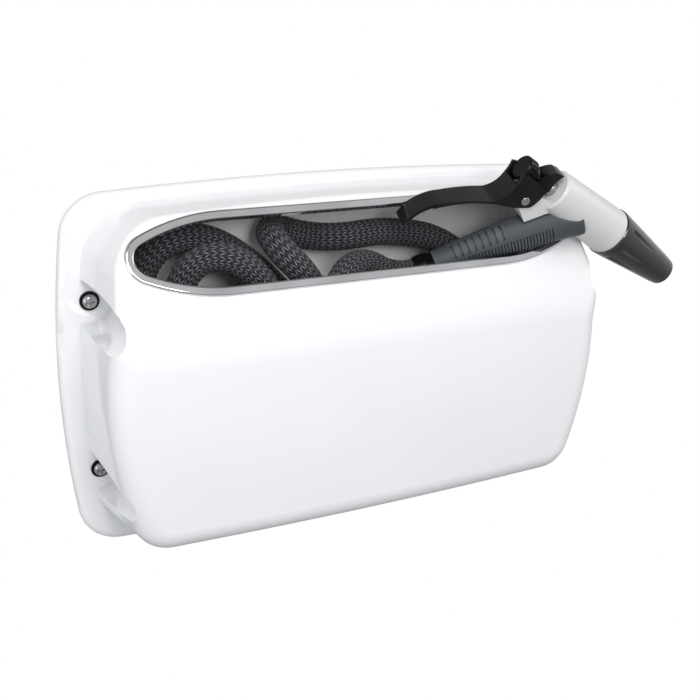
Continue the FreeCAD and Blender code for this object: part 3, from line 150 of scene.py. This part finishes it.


# Moulded surface: fine texture, slow colour drift, paler worn edges and painted shade darkening small
# recesses
def grainGroup():
    tree, given, made = groupOf(
        "mouldedSurface",
        [("Color", "Color", (0.8, 0.8, 0.8, 1)), ("Grain", "Float", 900.0), ("Bump", "Float", 0.05),
         ("Roughness", "Float", 0.3), ("Wear", "Float", 0.25), ("Recess", "Float", 0.0)],
        [("Color", "Color"), ("Roughness", "Float"), ("Normal", "Vector")])
    where = put(tree, "TexCoord").outputs["Object"]
    fine = put(tree, "TexNoise", values=(where,))
    tree.links.new(given.outputs["Grain"], fine.inputs["Scale"])
    fine.inputs["Detail"].default_value = mouldEffect["fineDetail"]
    slow = put(tree, "TexNoise", values=(where,))
    slow.inputs["Scale"].default_value = mouldEffect["driftScale"]
    slow.inputs["Detail"].default_value = mouldEffect["driftDetail"]
    edge = ramp(tree, put(tree, "NewGeometry").outputs["Pointiness"], *mouldEffect["edge"], 0, 1)
    worn = calc(tree, "MULTIPLY", calc(tree, "MULTIPLY", edge, slow.outputs[0]), given.outputs["Wear"])
    drift = ramp(tree, slow.outputs[0], *mouldEffect["drift"])
    # Painted shade: ambient occlusion within a few millimetres darkens the colour in small recesses, scaled
    # by the group's shade input
    shadeOcclusion = put(tree, "AmbientOcclusion", samples=8)
    shadeOcclusion.inputs["Distance"].default_value = mouldEffect["recessReach"]
    paintedShadeMask = ramp(tree, shadeOcclusion.outputs["AO"], *mouldEffect["recess"], 1, 0)
    driftAndPaintedShade = calc(tree, "SUBTRACT", drift, calc(tree, "MULTIPLY", paintedShadeMask, given.outputs["Recess"]))
    toned = put(tree, "VectorMath", "SCALE", (given.outputs["Color"],))
    tree.links.new(driftAndPaintedShade, toned.inputs["Scale"])
    tree.links.new(blendColor(tree, worn, toned.outputs[0], mouldEffect["worn"]), made.inputs["Color"])
    rough = calc(tree, "ADD", given.outputs["Roughness"],
                 ramp(tree, slow.outputs[0], *mouldEffect["roughDrift"]))
    tree.links.new(rough, made.inputs["Roughness"])
    bump = put(tree, "Bump")
    bump.inputs["Distance"].default_value = mouldEffect["bumpDepth"]
    tree.links.new(given.outputs["Bump"], bump.inputs["Strength"])
    tree.links.new(fine.outputs[0], bump.inputs["Height"])
    tree.links.new(bump.outputs[0], made.inputs["Normal"])
    return tree


# Metal: long fine lines and a slow tarnish
def metalGroup():
    tree, given, made = groupOf(
        "workedMetal",
        [("Color", "Color", (0.6, 0.6, 0.6, 1)), ("Roughness", "Float", 0.25),
         ("Stretch", "Vector", (1, 1, 1)), ("Grain", "Float", 60.0)],
        [("Color", "Color"), ("Roughness", "Float"), ("Normal", "Vector")])
    where = put(tree, "TexCoord").outputs["Object"]
    pulled = put(tree, "VectorMath", "MULTIPLY", (where, given.outputs["Stretch"])).outputs[0]
    lines = put(tree, "TexNoise", values=(pulled,))
    tree.links.new(given.outputs["Grain"], lines.inputs["Scale"])
    lines.inputs["Detail"].default_value = metalEffect["lineDetail"]
    slow = put(tree, "TexNoise", values=(where,))
    slow.inputs["Scale"].default_value = metalEffect["tarnishScale"]
    tone = ramp(tree, slow.outputs[0], *metalEffect["tarnish"])
    toned = put(tree, "VectorMath", "SCALE", (given.outputs["Color"],))
    tree.links.new(tone, toned.inputs["Scale"])
    tree.links.new(toned.outputs[0], made.inputs["Color"])
    rough = calc(tree, "ADD", given.outputs["Roughness"],
                 ramp(tree, lines.outputs[0], *metalEffect["roughDrift"]))
    tree.links.new(rough, made.inputs["Roughness"])
    bump = put(tree, "Bump")
    bump.inputs["Strength"].default_value = metalEffect["bump"]
    bump.inputs["Distance"].default_value = metalEffect["bumpDepth"]
    tree.links.new(lines.outputs[0], bump.inputs["Height"])
    tree.links.new(bump.outputs[0], made.inputs["Normal"])
    return tree


# Woven hose sleeve: columns of slanting stitches along the hose; yarn colour with a painted highlight on the
# raised stitch tops and painted shade in the gaps between stitches
def braidGroup():
    tree, given, made = groupOf(
        "wovenSleeve",
        [("Columns", "Float", 20.0), ("Stitch", "Float", 0.0036), ("PaintedGapShade", "Color", (0.006, 0.006, 0.007, 1)),
         ("Yarn", "Color", (0.024, 0.026, 0.031, 1)), ("PaintedHighlight", "Color", (0.185, 0.198, 0.224, 1))],
        [("Color", "Color"), ("Roughness", "Float"), ("Normal", "Vector")])
    coords = put(tree, "SeparateXYZ", values=(put(tree, "UVMap").outputs[0],))
    wobble = put(tree, "TexNoise", values=(put(tree, "TexCoord").outputs["Object"],))
    wobble.inputs["Scale"].default_value = weaveEffect["wobbleScale"]
    shift = calc(tree, "MULTIPLY", calc(tree, "SUBTRACT", wobble.outputs[0], 0.5), weaveEffect["wobble"])
    column = calc(tree, "MULTIPLY", coords.outputs[0], given.outputs["Columns"])
    side = calc(tree, "ABSOLUTE", calc(tree, "SUBTRACT", calc(tree, "FRACT", column), 0.5))
    across = calc(tree, "MULTIPLY", side, 2)
    along = calc(tree, "DIVIDE", coords.outputs[1], given.outputs["Stitch"])
    slanted = calc(tree, "MULTIPLY", across, weaveEffect["slant"])
    slant = calc(tree, "ADD", calc(tree, "ADD", along, slanted), shift)
    saw = calc(tree, "MULTIPLY", calc(tree, "FRACT", slant), 2)
    wave = calc(tree, "ABSOLUTE", calc(tree, "SUBTRACT", saw, 1))
    stitch = ramp(tree, wave, *weaveEffect["stitch"], 1, 0, **softly)
    ridge = ramp(tree, across, *weaveEffect["ridge"], **softly)
    valley = ramp(tree, across, *weaveEffect["valley"], **softly)
    height = calc(tree, "MULTIPLY", calc(tree, "MULTIPLY", stitch, ridge), valley)
    fibre = put(tree, "TexNoise", values=(put(tree, "TexCoord").outputs["Object"],))
    fibre.inputs["Scale"].default_value = weaveEffect["fibreScale"]
    raised = calc(tree, "ADD", height, calc(tree, "MULTIPLY", fibre.outputs[0], weaveEffect["fibre"]))
    # Painted shade: the gaps between stitches are darkened, fading into the yarn colour as the stitch rises
    low = ramp(tree, height, *weaveEffect["yarn"], 0, 1)
    # Painted highlight: the raised stitch tops take a lighter colour
    high = ramp(tree, raised, *weaveEffect["paintedHighlightBand"], 0, 1)
    color = blendColor(tree, high, blendColor(tree, low, given.outputs["PaintedGapShade"], given.outputs["Yarn"]),
                       given.outputs["PaintedHighlight"])
    tree.links.new(color, made.inputs["Color"])
    tree.links.new(ramp(tree, height, 0, 1, *weaveEffect["rough"]), made.inputs["Roughness"])
    bump = put(tree, "Bump")
    bump.inputs["Strength"].default_value = 1.0
    bump.inputs["Distance"].default_value = weaveEffect["bumpDepth"]
    tree.links.new(raised, bump.inputs["Height"])
    tree.links.new(bump.outputs[0], made.inputs["Normal"])
    return tree


moulded, worked, woven = grainGroup(), metalGroup(), braidGroup()


# A material whose shader takes colour, roughness and normal from a group
def surface(name, tree, **constants):
    material = bpy.data.materials.new(name)
    material.use_nodes = True
    shader = [one for one in material.node_tree.nodes if one.type == "BSDF_PRINCIPLED"][0]
    effect = put(material.node_tree, "Group")
    effect.node_tree = tree
    for title, socket in (("Color", "Base Color"), ("Roughness", "Roughness"), ("Normal", "Normal")):
        material.node_tree.links.new(effect.outputs[title], shader.inputs[socket])
    for title, value in constants.items():
        target = title.replace("_", " ")
        holder = effect if target in [one.name for one in effect.inputs] and target != "Metallic" else shader
        holder.inputs[target].default_value = value
    return material


def plastic(name, look, wear=0.2, **more):
    return surface(name, moulded, Color=look["color"], Roughness=look["roughness"], Grain=look["grain"],
                   Bump=look["bump"], Wear=wear, **more)


def metal(name, look):
    return surface(name, worked, Color=look["color"], Roughness=look["roughness"], Stretch=look["stretch"],
                   Grain=look["grain"], Metallic=1.0)


whiteShell = plastic("whiteShell", plasticSet, 0.1, Coat_Weight=0.6, Coat_Roughness=0.06)
greyPanel = plastic("greyPanel", panelSet)
barrelGrey = plastic("barrelGrey", barrelSet, 0.3)
glossBlack = plastic("glossBlack", blackSet, 0.02, Specular_IOR_Level=0.1, Coat_Weight=0.06,
                     Coat_Roughness=0.06)
tipBlack = plastic("tipBlack", tipSet, 0.02, Specular_IOR_Level=0.5, Coat_Weight=0.6, Coat_Roughness=0.05)
# The grip's slots get painted shade from the recess darkening
softGrip = plastic("softGrip", gripSet, 0.08, Recess=0.8)
foam = plastic("foam", foamSet, 0.1)
rubber = plastic("rubber", rubberSet, 0.1)
stainless = metal("stainless", steelSet)
polished = metal("polished", trimSet)
brass = metal("brass", brassSet)
sleeve = surface("sleeve", woven, Columns=hoseSet["columns"], Stitch=hoseSet["stitch"], Sheen_Weight=0.06)

finishes = {
    "housing": whiteShell, "back_panel": greyPanel, "wall_gasket": foam, "panel_screws": stainless,
    # The mounting washers take the gloss black finish, which draws a dark ring round each screw head
    "mouth_trim_ring": polished, "mounting_screws": stainless, "mounting_washers": glossBlack,
    "inlet_bulkhead": brass, "inlet_nut": brass, "inlet_seal_washer": rubber, "inlet_elbow": brass,
    "hose_inlet_collar": stainless, "nozzle_body_casting": barrelGrey, "nozzle_grip": softGrip,
    "hose_outlet_collar": glossBlack, "stem_gland": stainless, "tip_o_ring": rubber,
    "valve_spring": stainless, "lever_pin": stainless, "nozzle_lever": glossBlack,
    "valve_stem": stainless, "valve_seal": rubber, "flow_knob": glossBlack, "nozzle_tip": tipBlack,
}
for name, material in finishes.items():
    for slot in nodes[name].material_slots:
        slot.material = material
print("stage: finishes on the frame")

# Hose: the same corners as the solid's, in metres
hoseRoute = [
    (0.0999, -0.022, -0.080), (0.052, -0.022, -0.080), (0.007, -0.018, -0.084), (-0.039, -0.017, -0.084),
    (-0.085, -0.018, -0.075), (-0.121, -0.018, -0.046), (-0.139, -0.016, -0.003), (-0.145, -0.017, 0.042),
    (-0.149, -0.023, 0.078), (-0.134, -0.028, 0.102), (-0.105, -0.026, 0.103), (-0.073, -0.019, 0.083),
    (-0.041, -0.016, 0.050), (-0.020, -0.016, 0.009), (-0.026, -0.023, -0.036), (-0.057, -0.034, -0.057),
    (-0.097, -0.046, -0.046), (-0.122, -0.051, -0.007), (-0.130, -0.047, 0.037), (-0.130, -0.044, 0.072),
    (-0.115, -0.045, 0.093), (-0.092, -0.051, 0.094), (-0.070, -0.053, 0.072), (-0.054, -0.047, 0.035),
    (-0.035, -0.054, -0.007), (-0.005, -0.063, -0.041), (0.037, -0.062, -0.062), (0.082, -0.056, -0.052),
    (0.103, -0.050, -0.018), (0.093, -0.044, 0.019), (0.053, -0.040, 0.039), (0.007, -0.038, 0.041),
    (-0.029, -0.037, 0.057), (-0.042, -0.055, 0.076), (-0.062, -0.048, 0.098), (-0.057, -0.018, 0.104),
    (-0.029, -0.0155, 0.094), (-0.005, -0.026, 0.093), (0.032, -0.024, 0.095), (0.078, -0.026, 0.086),
    (0.111, -0.033, 0.054), (0.133, -0.023, 0.013), (0.135, -0.035, -0.033), (0.113, -0.059, -0.067),
    (0.072, -0.073, -0.082), (0.026, -0.0743, -0.082), (-0.020, -0.0743, -0.082), (-0.066, -0.073, -0.073),
    (-0.100, -0.074, -0.041), (-0.103, -0.075, 0.006), (-0.062, -0.076, 0.0214), (-0.0316, -0.0699, 0.0646),
    (-0.0034, -0.0488, 0.085), (0.0343, -0.04136, 0.06248), (0.05387, -0.04775, 0.07024),
]


# The route is a smooth spline's control points; the tube follows points read from that spline
def routeLine(name, corners, fine):
    curve = bpy.data.curves.new(name, "CURVE")
    curve.dimensions = "3D"
    curve.resolution_u = fine
    spline = curve.splines.new("NURBS")
    spline.points.add(len(corners) - 1)
    for point, corner in zip(spline.points, corners):
        point.co = (*corner, 1)
    spline.order_u = 3
    spline.use_endpoint_u = True
    holder = bpy.data.objects.new(name, curve)
    line = bpy.data.meshes.new_from_object(holder)
    path = [vertex.co.copy() for vertex in line.vertices]
    bpy.data.meshes.remove(line)
    bpy.data.curves.remove(curve)
    return path


# A tube round a path, its sleeve folded on the inner side of tight bends; UV runs round it and along it,
# in metres
def hoseMesh(name, path, along, look):
    count, around = len(path), look["around"]
    ahead = [(path[min(i + 1, count - 1)] - path[max(i - 1, 0)]).normalized() for i in range(count)]
    side = ahead[0].orthogonal().normalized()
    verts, lengths = [], [along]
    for i in range(count):
        if i:
            lengths.append(lengths[-1] + (path[i] - path[i - 1]).length)
            side = (side - ahead[i] * side.dot(ahead[i])).normalized()
        other = ahead[i].cross(side)
        near, far = max(0, i - look["bendWindow"]), min(count - 1, i + look["bendWindow"])
        bend = (ahead[far] - ahead[near]) / max(1e-6, lengths[-1] - lengths[near]) / 2
        tight = min(1.0, bend.length * look["tightBend"])
        inward = bend.normalized() if bend.length > 1e-6 else side
        fold = 0.5 + 0.5 * math.cos(2 * math.pi * lengths[-1] / look["foldPitch"])
        for j in range(around):
            angle = 2 * math.pi * j / around
            out = side * math.cos(angle) + other * math.sin(angle)
            dip = look["foldDepth"] * tight * fold * max(0.0, out.dot(inward))
            verts.append(path[i] + out * (look["radius"] - dip))
    faces, uvs = [], []
    for i in range(count - 1):
        for j in range(around):
            k = (j + 1) % around
            faces.append((i * around + j, i * around + k, (i + 1) * around + k, (i + 1) * around + j))
            u, w = j / around, (j + 1) / around
            uvs += [(u, lengths[i]), (w, lengths[i]), (w, lengths[i + 1]), (u, lengths[i + 1])]
    mesh = bpy.data.meshes.new(name)
    mesh.from_pydata(verts, [], faces)
    layer = mesh.uv_layers.new(name="UVMap")
    for loop, uv in zip(layer.data, uvs):
        loop.uv = uv
    for polygon in mesh.polygons:
        polygon.use_smooth = True
    mesh.materials.append(sleeve)
    obj = bpy.data.objects.new(name, mesh)
    bpy.context.scene.collection.objects.link(obj)
    return obj, lengths[-1]


split = (Vector(hoseRoute[hoseSet["tailFrom"]]) + Vector(hoseRoute[hoseSet["tailFrom"] + 1])) / 2
loopPath = routeLine("loopLine", hoseRoute[:hoseSet["tailFrom"] + 1] + [tuple(split)], hoseSet["fine"])
tailPath = routeLine("tailLine", [tuple(split)] + hoseRoute[hoseSet["tailFrom"] + 1:], hoseSet["fine"])
loops, loopLength = hoseMesh("hoseLoops", loopPath, 0.0, hoseSet)
tail, wholeLength = hoseMesh("hoseTail", tailPath, loopLength, hoseSet)
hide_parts("hose")
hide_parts("hose_tail")
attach(loops, "enclosure")
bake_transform(tail)
print("stage: hose laid", round(wholeLength, 3))

# The valve spring, which shortens towards its rear end as the stem slides back, gets its own copy of its
# mesh
spring = nodes["valve_spring"]
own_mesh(spring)

# Camera, sky and lights
yaw, pitch, roll = (math.radians(cameraSet[key]) for key in ("yaw", "pitch", "roll"))
look = Vector((math.sin(yaw) * math.cos(pitch), math.cos(yaw) * math.cos(pitch), -math.sin(pitch)))
right = Vector((math.cos(yaw), -math.sin(yaw), 0))
up = right.cross(look)
right, up = right * math.cos(roll) + up * math.sin(roll), up * math.cos(roll) - right * math.sin(roll)
camera = bpy.data.objects.new("camera", bpy.data.cameras.new("camera"))
camera.data.lens = cameraSet["lens"]
camera.data.sensor_width = 36
turned = Matrix((right, up, -look)).transposed().to_4x4()
camera.matrix_world = Matrix.Translation(cameraSet["place"]) @ turned
bpy.context.scene.collection.objects.link(camera)
bpy.context.scene.camera = camera
bpy.context.scene.view_settings.view_transform = "Standard"

world = bpy.data.worlds.new("sky")
world.use_nodes = True
bpy.context.scene.world = world
tree = world.node_tree
background = [one for one in tree.nodes if one.type == "BACKGROUND"][0]
height = put(tree, "SeparateXYZ", values=(put(tree, "TexCoord").outputs["Generated"],)).outputs[2]
lower = ramp(tree, height, *skySet["lowBand"], 0, 1)
upper = ramp(tree, height, *skySet["highBand"], 0, 1)
sky = blendColor(tree, upper, blendColor(tree, lower, skySet["low"], skySet["middle"]), skySet["top"])
overhead = ramp(tree, height, *skySet["zenithBand"], 0, 1)
sky = blendColor(tree, overhead, sky, skySet["zenith"])
seen = put(tree, "LightPath").outputs["Is Camera Ray"]
tree.links.new(blendColor(tree, seen, sky, (1, 1, 1, 1)), background.inputs["Color"])

for name, lamp in lights.items():
    source = bpy.data.objects.new(name, bpy.data.lights.new(name, "AREA"))
    source.data.energy = lamp["power"]
    source.data.size = lamp["size"]
    source.location = lamp["place"]
    source.rotation_euler = (Vector(lightAim) - source.location).to_track_quat("-Z", "Y").to_euler()
    bpy.context.scene.collection.objects.link(source)
print("stage: camera and lights")
